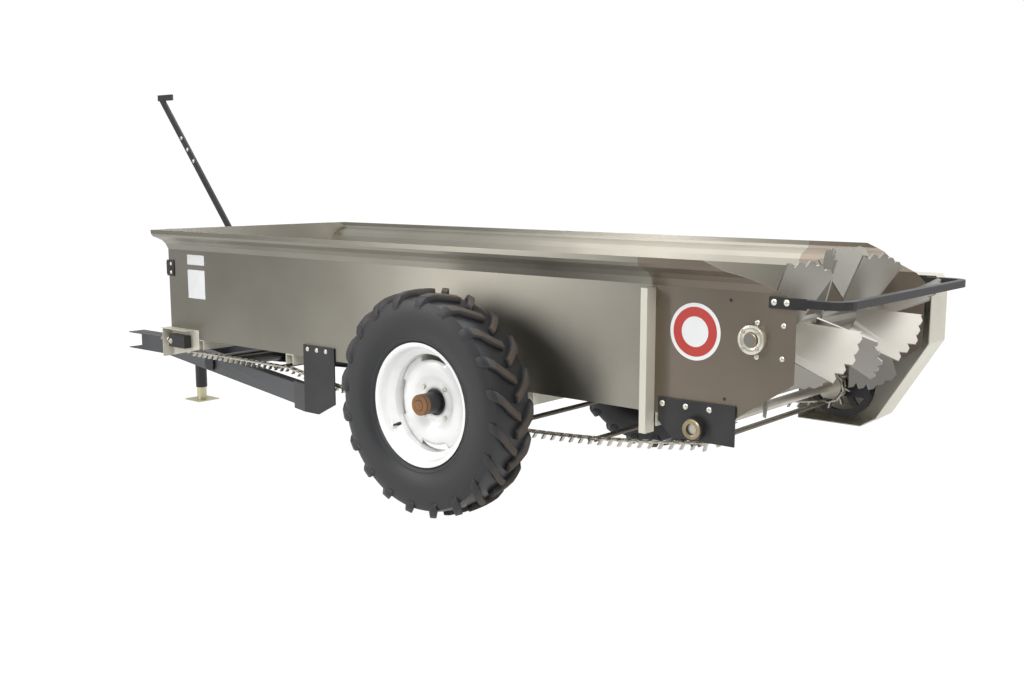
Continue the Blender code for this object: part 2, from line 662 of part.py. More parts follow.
def place_on_loop(distance):
    """Point and running direction at a distance along the loop."""
    for i, length in enumerate(lengths):
        if distance <= length:
            run = (loop[(i + 1) % len(loop)] - loop[i]).normalized()
            return loop[i] + run * distance, run
        distance -= length
    return loop[0], (loop[1] - loop[0]).normalized()


bm = bmesh.new()
for number in range(SLAT_COUNT):
    point, run = place_on_loop(SLAT_START + spacing * number)
    made = bmesh.ops.create_cube(bm, size=1)["verts"]
    low, high = -CHAIN_HALF + 0.001, SLAT_OUT
    bmesh.ops.transform(
        bm,
        verts=made,
        matrix=Matrix.Translation((0, along(point.x), point.y))
        @ Matrix.Rotation(math.atan2(run.y, run.x), 4, "X")
        @ Matrix.Translation((0, 0, (low + high) / 2))
        @ Matrix.Diagonal((2 * SLAT_HALF, SLAT_WIDTH, high - low, 1)),
    )
slat_mesh = bpy.data.meshes.new("slats")
bm.to_mesh(slat_mesh)
bm.free()
slats = finish("slats", slat_mesh, "steel", home=cutters)
joined(apron, second, slats)

# ---------------------------------------------------------------- axle and wheels
axle = bar("axle", "rust", "X", (AXLE_Y, AXLE_Z), -AXLE_SHOULDER, AXLE_SHOULDER, AXLE_RADIUS)
spindle = bar("axle_spindle", "rust", "X", (AXLE_Y, AXLE_Z), -SPINDLE_END, SPINDLE_END, SPINDLE_RADIUS)
joined(axle, spindle)
for word, side in SIDES:
    outline = [(along(y), z) for y, z in ((-0.075, 0.362), (0.075, 0.362), (0.075, 0.560), (-0.075, 0.560))]
    plate("axle_mount_" + word, "black", "YZ", outline, *span(side, SIDE, SIDE + BRACKET_PLATE),
          holes=[(AXLE_Y, AXLE_Z, AXLE_RADIUS + GAP)])

HUB_INNER, HUB_OUTER = AXLE_SHOULDER + 0.006, 0.766
DISC_X = 0.687
HUB_BORE = SPINDLE_RADIUS + RUNNING_GAP
hub_profile = [
    (HUB_RADIUS, HUB_OUTER), (HUB_RADIUS, DISC_X - GAP), (HUB_FLANGE, DISC_X - GAP),
    (HUB_FLANGE, DISC_X - GAP - 0.010), (HUB_RADIUS + 0.008, DISC_X - GAP - 0.010),
    (HUB_RADIUS + 0.008, HUB_INNER), (HUB_BORE, HUB_INNER), (HUB_BORE, HUB_OUTER),
]
SEAT = 0.206                 # bead seat radius
WELL = 0.178                 # drop centre radius
disc_back = DISC_X - TRACK_HALF
disc_front = disc_back + RIM_SHEET
rim_profile = [  # (radius, across) outboard flange, tyre side, inboard flange, then the inner face
    (RIM_RADIUS, RIM_HALF), (RIM_RADIUS, RIM_HALF - RIM_SHEET), (SEAT, RIM_HALF - 0.008),
    (SEAT, 0.040), (WELL, 0.020), (WELL, -0.026), (SEAT, -0.046), (SEAT, 0.008 - RIM_HALF),
    (RIM_RADIUS, RIM_SHEET - RIM_HALF), (RIM_RADIUS, -RIM_HALF), (SEAT - RIM_SHEET, 0.004 - RIM_HALF),
    (SEAT - RIM_SHEET, -0.044), (WELL - RIM_SHEET, -0.024), (WELL - RIM_SHEET, disc_back),
    (DISC_HOLE, disc_back), (DISC_HOLE, disc_front), (WELL - RIM_SHEET, disc_front),
    (WELL - RIM_SHEET, 0.018), (SEAT - RIM_SHEET, 0.038), (SEAT - RIM_SHEET, RIM_HALF - 0.004),
]
TREAD = TYRE_RADIUS
tyre_half_profile = [  # (radius, across) from the bead to the middle of the tread
    (SEAT + GAP, RIM_HALF - 0.0085), (RIM_RADIUS + GAP * 4, RIM_HALF - 0.0045), (0.232, 0.078), (0.250, 0.090),
    (0.290, 0.0985), (0.325, TYRE_HALF), (0.358, 0.0975), (0.385, 0.091), (TREAD - 0.006, 0.082),
    (TREAD, 0.060),
]
tyre_profile = list(reversed([(r, x) for r, x in tyre_half_profile]))
tyre_profile = [(r, -x) for r, x in tyre_half_profile] + tyre_profile
tyre_profile = list(reversed(tyre_profile))
for word, side in SIDES:
    turned("hub_" + word, "black", [(r, x) for r, x in hub_profile], 0, side)
    turned("rim_" + word, "white", rim_profile, TRACK_HALF, side)
    turned("tyre_" + word, "tyre", tyre_profile, TRACK_HALF, side)

# ---------------------------------------------------------------- beater
beater = bar("beater", "stainless", "X", (0, 0), -BEATER_HALF, BEATER_HALF, BEATER_TUBE)
shaft = bar("beater_shaft", "steel", "X", (0, 0), -0.560, 0.520, BEATER_SHAFT)
joined(beater, shaft)
PADDLES = [  # (place along the shaft, angle from +Y toward +Z, twist about its own radius), degrees
    (0.360, 62, -20), (-0.155, 60, -20), (0.090, 78, 35), (0.345, -12, 42), (0.120, -22, -50),
    (-0.130, -10, 42), (-0.370, 25, 20), (0.200, 180, 30), (-0.300, 200, -30), (-0.340, 118, -30),
    (0.000, 245, 30), (0.350, 262, -30), (-0.300, 280, 30),
]


def paddle_outline():
    """Plate from the shaft to a saw-toothed outer edge, in local (across, out)."""
    root = BEATER_TUBE * 0.6
    outer_half = PADDLE_OUTER / 2
    points = [(-PADDLE_INNER / 2, root), (PADDLE_INNER / 2, root), (outer_half, BEATER_REACH - TOOTH_DEPTH - 0.02)]
    for tooth in range(TEETH):
        start = outer_half - PADDLE_OUTER * tooth / TEETH
        crown = BEATER_REACH - 0.012 - 0.010 * abs(tooth - (TEETH - 1) / 2)
        points.append((start, crown))
        points.append((start - PADDLE_OUTER / TEETH * 0.45, crown))
        points.append((start - PADDLE_OUTER / TEETH * 0.85, crown - TOOTH_DEPTH))
    points.append((-outer_half, BEATER_REACH - TOOTH_DEPTH - 0.030))
    return points


for number, (place, angle, twist) in enumerate(PADDLES):
    blade = plate(f"paddle_{number}", "stainless", "XY", paddle_outline(), -PADDLE_THICK / 2,
                  PADDLE_THICK / 2)
    blade.data.transform(Matrix.Rotation(math.radians(twist), 4, "Y"))
    blade.data.transform(Matrix.Rotation(math.radians(angle), 4, "X"))
    blade.data.transform(Matrix.Translation((place, 0, 0)))
    joined(beater, blade)
beater.location = (0, along(BEATER_Y), BEATER_Z)
for tool in cutters.objects:
    if tool.name.startswith("paddle_") or tool.name == "beater_shaft":
        tool.location = beater.location

for word, side in SIDES:
    ring = bar("beater_bearing_" + word, "zinc", "X", (along(BEATER_Y), BEATER_Z),
               *span(side, SIDE, SIDE + 0.014), 0.045)
    bore = bar(f"beater_bearing_{word}_bore", "zinc", "X", (along(BEATER_Y), BEATER_Z),
               *span(side, SIDE - CUT, SIDE + CUT * 2), BEATER_SHAFT + 0.001, home=cutters)
    cut(ring, bore)

# ---------------------------------------------------------------- rear bail
bail_outer = SIDE + BRACKET_PLATE
bail_rear = along(BAIL_REACH)
bail_start = along(BOX_REAR) + 0.004


def bail_side(inset):
    """Left half of the bail's plan outline, moved inward."""
    x, y, r = bail_outer - inset, bail_rear - inset, BAIL_CORNER - inset
    points = [(x, bail_start)]
    for i in range(7):
        angle = math.radians(15 * i)
        points.append((x - r + r * math.cos(angle), y - r + r * math.sin(angle)))
    return points


outer, inner = bail_side(0), bail_side(BAIL_SIDE)
bail_outline = outer + mirrored(outer) + list(reversed(mirrored(inner))) + list(reversed(inner))
bail = plate("bail", "black", "XY", bail_outline, BAIL_Z - BAIL_SIDE / 2, BAIL_Z + BAIL_SIDE / 2)
for word, side in SIDES:
    strap = box(f"bail_strap_{word}", "black", span(side, SIDE, bail_outer), (along(1.198), bail_start + 0.030),
                (BAIL_Z - 0.018, BAIL_Z + 0.016))
    joined(bail, strap)

# ---------------------------------------------------------------- drive guard on the right-hand side
GUARD_OUTLINE = [  # (from the axle, height), clockwise from the lower front corner
    (0.806, 0.268), (1.060, 0.268), (1.120, 0.305), (1.305, 0.606), (1.305, 0.815), (1.285, 0.850),
    (0.846, 0.850), (0.806, 0.810),
]
guard_inner_x = SIDE + BRACKET_PLATE + GAP
guard_out = -guard_inner_x - GUARD_DEPTH
guard = plate("drive_guard", "pale_stainless", "YZ", [(along(y), z) for y, z in GUARD_OUTLINE], guard_out,
              -guard_inner_x)
centre_y, centre_z = along(1.04), 0.58
hollow_outline = []
for y, z in GUARD_OUTLINE:
    reach = Vector((along(y) - centre_y, z - centre_z))
    reach.length -= SHEET * 1.6
    hollow_outline.append((centre_y + reach.x, centre_z + reach.y))
guard_hollow = plate("drive_guard_hollow", "pale_stainless", "YZ", hollow_outline, guard_out + SHEET,
                     -guard_inner_x + CUT, home=cutters)
cut(guard, guard_hollow)
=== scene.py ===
"""Looks of the manure spreader: finishes, tyres, wheel discs, chain links, bolts and labels."""
import math

import bmesh
import bpy
from mathutils import Matrix, Vector


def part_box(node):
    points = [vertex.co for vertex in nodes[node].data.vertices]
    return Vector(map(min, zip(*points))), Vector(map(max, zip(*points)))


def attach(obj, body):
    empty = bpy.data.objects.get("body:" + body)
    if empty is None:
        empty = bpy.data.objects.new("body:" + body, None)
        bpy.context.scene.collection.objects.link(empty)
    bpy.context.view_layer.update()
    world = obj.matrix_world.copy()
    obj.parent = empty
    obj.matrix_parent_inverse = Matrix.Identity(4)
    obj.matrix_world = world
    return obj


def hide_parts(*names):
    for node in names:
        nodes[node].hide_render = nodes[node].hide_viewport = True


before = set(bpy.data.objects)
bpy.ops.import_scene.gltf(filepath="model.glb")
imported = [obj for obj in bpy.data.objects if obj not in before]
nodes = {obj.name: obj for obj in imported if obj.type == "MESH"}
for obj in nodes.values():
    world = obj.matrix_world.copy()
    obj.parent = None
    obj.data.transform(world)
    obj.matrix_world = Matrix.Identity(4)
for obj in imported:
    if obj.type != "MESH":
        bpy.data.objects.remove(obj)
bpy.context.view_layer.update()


def middle(node):
    low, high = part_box(node)
    return (Vector(low) + Vector(high)) / 2


AXLE_Y = middle("axle").y
AXLE_Z = middle("axle").z
SIDES = (("left", 1), ("right", -1))


# ---------------------------------------------------------------- finishes
def shader_of(name):
    made = bpy.data.materials.new(name)
    made.use_nodes = True
    tree = made.node_tree
    return made, tree, tree.nodes["Principled BSDF"]


def grain(tree, scale, detail=4.0, stretch=(1, 1, 1)):
    """Noise on Object coordinates, stretched by a mapping."""
    place = tree.nodes.new("ShaderNodeTexCoord")
    mapping = tree.nodes.new("ShaderNodeMapping")
    mapping.inputs["Scale"].default_value = stretch
    noise = tree.nodes.new("ShaderNodeTexNoise")
    noise.inputs["Scale"].default_value = scale
    noise.inputs["Detail"].default_value = detail
    tree.links.new(place.outputs["Object"], mapping.inputs["Vector"])
    tree.links.new(mapping.outputs["Vector"], noise.inputs["Vector"])
    return noise.outputs["Fac"]


def ramp(tree, source, low, high, start=0.3, end=0.7):
    node = tree.nodes.new("ShaderNodeValToRGB")
    node.color_ramp.elements[0].position = start
    node.color_ramp.elements[0].color = (*low, 1)
    node.color_ramp.elements[1].position = end
    node.color_ramp.elements[1].color = (*high, 1)
    tree.links.new(source, node.inputs["Fac"])
    return node.outputs["Color"]


def span(tree, source, low, high):
    node = tree.nodes.new("ShaderNodeMapRange")
    node.inputs["To Min"].default_value = low
    node.inputs["To Max"].default_value = high
    tree.links.new(source, node.inputs["Value"])
    return node.outputs["Result"]


def bump(tree, shader, source, strength, distance):
    node = tree.nodes.new("ShaderNodeBump")
    node.inputs["Strength"].default_value = strength
    node.inputs["Distance"].default_value = distance
    tree.links.new(source, node.inputs["Height"])
    tree.links.new(node.outputs["Normal"], shader.inputs["Normal"])


def brushed(name, dark, light, rough, stretch, metallic=1.0, depth=0.0002, upright=False):
    """Metal with a fine grain along one direction and soft smudges."""
    made, tree, shader = shader_of(name)
    smudge = grain(tree, 2.2, 5.0)
    tree.links.new(ramp(tree, smudge, dark, light), shader.inputs["Base Color"])
    lines = grain(tree, 1.0, 3.0, stretch)
    tree.links.new(span(tree, lines, rough * 0.92, rough * 1.1), shader.inputs["Roughness"])
    shader.inputs["Metallic"].default_value = metallic
    if upright:
        shader.inputs["Anisotropic"].default_value = 0.85
        spread = tree.nodes.new("ShaderNodeCombineXYZ")
        spread.inputs["Z"].default_value = 1.0
        tree.links.new(spread.outputs[0], shader.inputs["Tangent"])
    bump(tree, shader, lines, 0.05, depth)
    return made


def painted(name, dark, light, rough, metallic=0.0, scale=30, coat=0.0):
    """Paint with slight orange peel and patchy dust that also varies the roughness."""
    made, tree, shader = shader_of(name)
    dust = grain(tree, 6.0, 8.0)
    tree.links.new(ramp(tree, dust, dark, light, 0.35, 0.75), shader.inputs["Base Color"])
    tree.links.new(span(tree, dust, rough * 0.8, rough * 1.35), shader.inputs["Roughness"])
    shader.inputs["Metallic"].default_value = metallic
    shader.inputs["Coat Weight"].default_value = coat
    bump(tree, shader, grain(tree, scale * 12, 2.0), 0.06, 0.0005)
    return made


SHEET_GRAIN = (3, 3, 900)     # long along the sheet, fine across it
STAINLESS = brushed("stainless_brushed", (0.27, 0.255, 0.215), (0.33, 0.315, 0.27), 0.38, SHEET_GRAIN,
                    upright=True)
STAINLESS_REAR = brushed("stainless_rear_panel", (0.200, 0.168, 0.135), (0.245, 0.208, 0.17), 0.40,
                         SHEET_GRAIN, upright=True)
STAINLESS_FRONT = brushed("stainless_front_wall", (0.30, 0.285, 0.25), (0.36, 0.345, 0.30), 0.40, SHEET_GRAIN,
                          upright=True)
PADDLE = brushed("paddle_sheet", (0.25, 0.24, 0.215), (0.34, 0.325, 0.295), 0.36, (300, 14, 14))
PALE = brushed("pale_stainless", (0.56, 0.54, 0.455), (0.66, 0.64, 0.55), 0.45, (18, 18, 160), 0.45)
BLACK = painted("black_powder_coat", (0.010, 0.010, 0.011), (0.024, 0.023, 0.022), 0.36)
# The tongue's black paint made lighter grey: painted light from above on the channels, not a different paint.
BLACK_PAINT_PAINTED_LIGHT = painted("charcoal_paint", (0.040, 0.044, 0.048), (0.070, 0.073, 0.076), 0.45)
ZINC = brushed("zinc_plate", (0.60, 0.58, 0.50), (0.74, 0.72, 0.64), 0.30, (60, 60, 60), 0.9)
YELLOW_ZINC = brushed("yellow_zinc", (0.50, 0.47, 0.30), (0.66, 0.62, 0.44), 0.38, (50, 50, 50), 0.8)
BRASSY = brushed("brassy_shaft_end", (0.26, 0.21, 0.12), (0.38, 0.31, 0.19), 0.4, (80, 80, 80), 0.85)
CHAIN_STEEL = brushed("chain_steel", (0.34, 0.32, 0.27), (0.62, 0.59, 0.52), 0.33, (90, 90, 90), 0.9)
SLAT_STEEL = painted("slat_steel", (0.16, 0.145, 0.11), (0.30, 0.28, 0.23), 0.5, 0.6)
RUST = painted("rusty_steel", (0.10, 0.055, 0.028), (0.33, 0.17, 0.075), 0.75, 0.25, 60)
WHITE = painted("white_gloss", (0.80, 0.80, 0.79), (0.90, 0.90, 0.89), 0.20, 0.0, 14, 0.6)
RUBBER = painted("tyre_rubber", (0.013, 0.013, 0.014), (0.026, 0.026, 0.026), 0.55, 0.0, 80)


def dusty_tread():
    """Rubber whose bar tops carry dry brown dust, thinning toward the shoulder."""
    made, tree, shader = shader_of("tyre_tread_rubber")
    place = tree.nodes.new("ShaderNodeTexCoord")
    middle_of = tree.nodes.new("ShaderNodeVectorMath")
    middle_of.operation = "SUBTRACT"
    middle_of.inputs[1].default_value = (0, AXLE_Y, AXLE_Z)
    flat = tree.nodes.new("ShaderNodeVectorMath")
    flat.operation = "MULTIPLY"
    flat.inputs[1].default_value = (0, 1, 1)
    reach = tree.nodes.new("ShaderNodeVectorMath")
    reach.operation = "LENGTH"
    tree.links.new(place.outputs["Object"], middle_of.inputs[0])
    tree.links.new(middle_of.outputs[0], flat.inputs[0])
    tree.links.new(flat.outputs[0], reach.inputs[0])
    outer = tree.nodes.new("ShaderNodeMapRange")
    outer.inputs["From Min"].default_value = 0.385
    outer.inputs["From Max"].default_value = 0.405
    tree.links.new(reach.outputs["Value"], outer.inputs["Value"])
    patchy = tree.nodes.new("ShaderNodeMath")
    patchy.operation = "MULTIPLY"
    tree.links.new(outer.outputs["Result"], patchy.inputs[0])
    tree.links.new(span(tree, grain(tree, 34, 6.0), 0.35, 1.3), patchy.inputs[1])
    colours = ramp(tree, patchy.outputs[0], (0.015, 0.0155, 0.017), (0.062, 0.048, 0.036), 0.1, 0.9)
    tree.links.new(colours, shader.inputs["Base Color"])
    tree.links.new(span(tree, patchy.outputs[0], 0.46, 0.86), shader.inputs["Roughness"])
    bump(tree, shader, grain(tree, 420, 4.0), 0.16, 0.0006)
    return made


TREAD = dusty_tread()
FLOOR = painted("floor_panel", (0.075, 0.070, 0.062), (0.15, 0.14, 0.125), 0.6, 0.0, 40)
LABEL = painted("blank_label", (0.66, 0.67, 0.67), (0.74, 0.74, 0.74), 0.45, 0.0, 20)
RED = painted("red_reflector", (0.40, 0.030, 0.024), (0.48, 0.045, 0.035), 0.30, 0.0, 50, 0.5)


def finish_for(node):
    """The finish of a CAD node, by what it is."""
    table = (
        (("rear_panel", ), STAINLESS_REAR), (("side_panel", ), STAINLESS),
        (("front_wall", ), STAINLESS_FRONT),
        (("takeup_bracket", "stake", "cross_member", "drive_guard"), PALE),
        # tongue channels: the black paint lightened as painted light
        (("tongue_left", "tongue_right"), BLACK_PAINT_PAINTED_LIGHT), (("beater_bearing", ), ZINC),
        (("jack_leg", ), YELLOW_ZINC),
        (("beater", ), PADDLE), (("apron_bearing", "axle_mount"), BLACK),
        (("apron_shaft", "idler"), CHAIN_STEEL),
        (("apron", ), SLAT_STEEL), (("axle", ), RUST), (("rim", ), WHITE), (("tyre", ), RUBBER),
        (("floor", ), FLOOR),
    )
    for starts, made in table:
        if node.startswith(starts):
            return made
    return BLACK


SOFT_EDGED = ("bail", "lever", "hanger", "tongue", "stake", "takeup", "jack", "beater", "bearing_plate")
for name, node in nodes.items():
    node.data.materials.clear()
    node.data.materials.append(finish_for(name))
    if name.startswith(SOFT_EDGED):
        weld = node.modifiers.new("weld", "WELD")
        weld.merge_threshold = 0.00005
        soft = node.modifiers.new("soft_edges", "BEVEL")
        soft.width = 0.0012
        soft.segments = 2
        soft.limit_method = "ANGLE"
        soft.angle_limit = math.radians(40)


# ---------------------------------------------------------------- building tools
def piece(name, bm, made, body="spreader", smooth=True):
    """A finished piece from a bmesh, riding on a body."""
    bmesh.ops.remove_doubles(bm, verts=bm.verts, dist=0.00002)
    bmesh.ops.recalc_face_normals(bm, faces=bm.faces)
    mesh = bpy.data.meshes.new(name)
    bm.to_mesh(mesh)
    bm.free()
    mesh.materials.append(made)
    if smooth:
        mesh.shade_smooth()
        mesh.set_sharp_from_angle(angle=math.radians(38))
    obj = bpy.data.objects.new(name, mesh)
    bpy.context.scene.collection.objects.link(obj)
    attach(obj, body)
    return obj


def spun(bm, profile, at, axis="X", steps=16, closed=False):
    """Turns a (radius, height) profile about an axis through a place."""
    verts = [bm.verts.new((radius, 0, height)) for radius, height in profile]
    pairs = list(zip(verts, verts[1:]))
    if closed:
        pairs.append((verts[-1], verts[0]))
    edges = [bm.edges.new(pair) for pair in pairs]
    bmesh.ops.spin(bm, geom=verts + edges, cent=(0, 0, 0), axis=(0, 0, 1), angle=math.tau, steps=steps,
                   use_merge=True)
    turn = {"X": Matrix.Rotation(math.pi / 2, 4, "Y"), "-X": Matrix.Rotation(-math.pi / 2, 4, "Y"),
            "Y": Matrix.Rotation(-math.pi / 2, 4, "X"), "-Y": Matrix.Rotation(math.pi / 2, 4, "X"),
            "Z": Matrix.Identity(4), "-Z": Matrix.Rotation(math.pi, 4, "X")}[axis]
    return Matrix.Translation(at) @ turn


def add_turned(bm, profile, at, axis="X", steps=16, closed=False):
    part = bmesh.new()
    place = spun(part, profile, at, axis, steps, closed)
    part.transform(place)
    bmesh.ops.remove_doubles(part, verts=part.verts, dist=0.00002)
    mesh = bpy.data.meshes.new("part")
    part.to_mesh(mesh)
    part.free()
    bm.from_mesh(mesh)
    bpy.data.meshes.remove(mesh)


def add_box(bm, low, high, bevel=0.0):
    part = bmesh.new()
    size = [b - a for a, b in zip(low, high)]
    centre = [(a + b) / 2 for a, b in zip(low, high)]
    bmesh.ops.create_cube(part, size=1, matrix=Matrix.Translation(centre) @ Matrix.Diagonal((*size, 1)))
    if bevel:
        bmesh.ops.bevel(part, geom=part.edges[:], offset=bevel, segments=2, profile=0.5, affect="EDGES",
                        material=-1)
    mesh = bpy.data.meshes.new("part")
    part.to_mesh(mesh)
    part.free()
    bm.from_mesh(mesh)
    bpy.data.meshes.remove(mesh)


def carriage_head(bm, at, axis, radius=0.0095):
    """A domed bolt head with a thin skirt."""
    profile = [(0.0, radius * 0.42), (radius * 0.5, radius * 0.36), (radius * 0.85, radius * 0.2),
               (radius, 0.0),
               (radius * 0.98, -0.0006), (0.0, -0.0006)]
    add_turned(bm, profile, at, axis, 14)


def hex_head(bm, at, axis, radius=0.009, height=0.007):
    """A hexagon nut on a washer, with the bolt's end showing."""
    add_turned(bm, [(0, 0.0016), (radius * 1.35, 0.0016), (radius * 1.35, -0.0004), (0, -0.0004)], at, axis,
               18)
    add_turned(bm,
               [(0, height), (radius * 0.86, height), (radius, height - 0.0012), (radius, 0.001), (0, 0.001)],
               at,
               axis, 6)
    add_turned(bm, [(0, height + 0.004), (radius * 0.42, height + 0.004), (radius * 0.5, height + 0.003),
                    (radius * 0.5, 0.002), (0, 0.002)], at, axis, 10)


# ---------------------------------------------------------------- tyres
LUGS = 20
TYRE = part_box("tyre_left")
TYRE_R = (TYRE[1][2] - TYRE[0][2]) / 2
TYRE_X = middle("tyre_left").x
CARCASS = [  # (radius, across) of the rubber between the lugs
    (0.2065, 0.0640), (0.2240, 0.0680), (0.2300, 0.0765), (0.2360, 0.0800), (0.2400, 0.0795),
    (0.2480, 0.0870),
    (0.2900, 0.0950), (0.3250, 0.0965), (0.3550, 0.0930), (0.3720, 0.0840), (0.3800, 0.0620),
    (0.3835, 0.0300),
    (0.3845, 0.0),
]
LUG_LINE = [  # (across, outer radius, root radius, sweep in degrees, half width)
    (-0.004, TYRE_R, 0.382, 0.0, 0.0125), (0.020, TYRE_R, 0.381, 2.3, 0.0130),
    (0.045, TYRE_R - 0.001, 0.378, 5.4, 0.0140), (0.068, TYRE_R - 0.004, 0.372, 8.8, 0.0160),
    (0.086, 0.3920, 0.362, 11.6, 0.0185), (0.0945, 0.3740, 0.350, 13.2, 0.0200),
    (0.0975, 0.3540, 0.345, 14.2, 0.0170),
    (0.0970, 0.3460, 0.340, 14.6, 0.0120),
]


def lug(bm, turn, hand):
    """One tread bar, swept back from the middle of the tread to the shoulder."""
    part = bmesh.new()
    rows = []
    for across, outer, root, sweep, half in LUG_LINE:
        centre = math.radians(turn + sweep)
        ring = []
        for radius, shift in ((root, -half * 1.35), (outer, -half), (outer, half), (root, half * 1.35)):
            reach = max(across - (0.010 if radius == root and across > 0.05 else 0.0), -0.004)
            angle = centre + shift / TYRE_R
            ring.append(part.verts.new((reach * hand, radius * math.cos(angle), radius * math.sin(angle))))
        rows.append(ring)
    loops = [[part.edges.new((ring[i], ring[(i + 1) % 4])) for i in range(4)] for ring in rows]
    for first, second in zip(loops, loops[1:]):
        bmesh.ops.bridge_loops(part, edges=first + second)
    part.faces.new(rows[0])
    part.faces.new(rows[-1])
    bmesh.ops.recalc_face_normals(part, faces=part.faces)
    crown = [e for e in part.edges if all(v.co.yz.length > 0.350 for v in e.verts)]
    bmesh.ops.bevel(part, geom=crown, offset=0.0022, segments=2, profile=0.5, affect="EDGES", material=-1,
                    clamp_overlap=True)
    mesh = bpy.data.meshes.new("lug")
    part.to_mesh(mesh)
    part.free()
    bm.from_mesh(mesh)
    bpy.data.meshes.remove(mesh)


def tyre(word, side):
    bm = bmesh.new()
    section = [(r, -x) for r, x in CARCASS] + [(r, x) for r, x in reversed(CARCASS[:-1])]
    add_turned(bm, section, (0, 0, 0), "X", 96, closed=True)
    for number in range(LUGS):
        pitch = 360 / LUGS
        lug(bm, number * pitch, 1)
        lug(bm, (number + 0.5) * pitch, -1)
    bmesh.ops.transform(bm, matrix=Matrix.Translation((side * TYRE_X, AXLE_Y, AXLE_Z)), verts=bm.verts)
    made = piece("tyre_tread_" + word, bm, TREAD, "wheel_" + word)
    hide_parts("tyre_" + word)


# ---------------------------------------------------------------- wheel discs and hubs
RIM_HALF = 0.073


def wheel_disc(word, side):
    """Pressed wheel: flanged barrel, dished disc with four crescent slots, bolts and valve."""
    bm = bmesh.new()
    barrel = [
        (0.2190, RIM_HALF - 0.0045), (0.2215, RIM_HALF - 0.0022), (0.2215, RIM_HALF - 0.0004),
        (0.2190, RIM_HALF),
        (0.2110, RIM_HALF - 0.0012), (0.2050, RIM_HALF - 0.0050), (0.2020, 0.0600), (0.2010, 0.0420),
        (0.1945, 0.0330), (0.1830, 0.0240), (0.1755, 0.0160), (0.1742, -0.0240), (0.1800, -0.0300),
        (0.2010, -0.0440), (0.2015, -0.0640), (0.2110, -0.0705), (0.2190, -RIM_HALF),
        (0.2215, -RIM_HALF + 0.0010),
        (0.2185, -RIM_HALF + 0.0045), (0.2100, -0.0655), (0.2050, -0.0450), (0.1840, -0.0270),
        (0.1780, -0.0240),
        (0.1780, 0.0190), (0.1850, 0.0270), (0.1980, 0.0370), (0.2050, 0.0440), (0.2055, 0.0600),
        (0.2120, 0.0665),
    ]
    add_turned(bm, barrel, (0, 0, 0), "X", 96, closed=True)
    rim = piece("rim_barrel_" + word, place_wheel(bm, side), WHITE, "wheel_" + word)
    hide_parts("rim_" + word)

    bm = bmesh.new()
    rings = [0.0485, 0.060, 0.070, 0.082, 0.092, 0.105, 0.125, 0.140, 0.152, 0.164, 0.1735]
    heights = [-0.0120, -0.0110, -0.0105, -0.0100, -0.0040, 0.0010, 0.0015, 0.0000, -0.0040, -0.0080, -0.0090]
    steps = 96
    verts = [bm.verts.new((h, r, 0)) for r, h in zip(rings, heights)]
    edges = [bm.edges.new(pair) for pair in zip(verts, verts[1:])]
    bmesh.ops.spin(bm, geom=verts + edges, cent=(0, 0, 0), axis=(1, 0, 0), angle=math.tau, steps=steps,
                   use_merge=True)
    slots = []
    for face in bm.faces:
        mid = face.calc_center_median()
        radius = mid.yz.length
        angle = math.degrees(math.atan2(mid.z, mid.y)) % 90
        off = min(angle, 90 - angle)
        if 0.152 < radius and off < 24 * (1 - ((radius - 0.1735) / 0.040) ** 2 * 0.3):
            slots.append(face)
    bmesh.ops.delete(bm, geom=slots, context="FACES")
    disc = piece("wheel_disc_" + word, place_wheel(bm, side), WHITE, "wheel_" + word)
    wall = disc.modifiers.new("sheet", "SOLIDIFY")
    wall.thickness = 0.004
    wall.offset = 0

    bm = bmesh.new()
    for quarter in range(4):
        angle = math.radians(45 + 90 * quarter)
        at = (-0.0080, 0.073 * math.cos(angle), 0.073 * math.sin(angle))
        add_turned(bm, [(0, 0.007), (0.0075, 0.007), (0.0090, 0.005), (0.0090, 0), (0, 0)], at, "X", 6)
    piece("wheel_bolts_" + word, place_wheel(bm, side), ZINC, "wheel_" + word)

    bm = bmesh.new()
    angle = math.radians(212)
    at = (0.016, 0.180 * math.cos(angle), 0.180 * math.sin(angle))
    add_turned(bm, [(0, 0.034), (0.0040, 0.034), (0.0042, 0.018), (0.0060, 0.014), (0.0070, 0.0), (0, 0)], at,
               "X", 14)
    piece("valve_" + word, place_wheel(bm, side), BLACK, "wheel_" + word)


def place_wheel(bm, side):
    """Moves a piece made about the origin to its wheel."""
    if side < 0:
        bmesh.ops.transform(bm, matrix=Matrix.Rotation(math.pi, 4, "Z"), verts=bm.verts)
    bmesh.ops.transform(bm, matrix=Matrix.Translation((side * TYRE_X, AXLE_Y, AXLE_Z)), verts=bm.verts)
    return bm


def axle_end(word, side):
    """Rusty cap face of the hub tube around the spindle."""
    bm = bmesh.new()
    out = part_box("hub_left")[1][0]
    profile = [(0.0205, 0.0040), (0.0330, 0.0040), (0.0368, 0.0020), (0.0378, -0.0060), (0.0378, -0.0180),
               (0.0375, -0.0181), (0.0372, 0.0), (0.0205, 0.0002)]
    add_turned(bm, profile, (side * out, AXLE_Y, AXLE_Z), "X" if side > 0 else "-X", 40, closed=True)
    piece("hub_end_" + word, bm, RUST, "wheel_" + word)


for word, side in SIDES:
    tyre(word, side)
    wheel_disc(word, side)
    axle_end(word, side)


# ---------------------------------------------------------------- bolts, and black discs as painted shade in small holes
WALL_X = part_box("stake_left")[0][0]
PLATE_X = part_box("bearing_plate_left")[1][0]
WALL_OUT = WALL_X - 0.0003


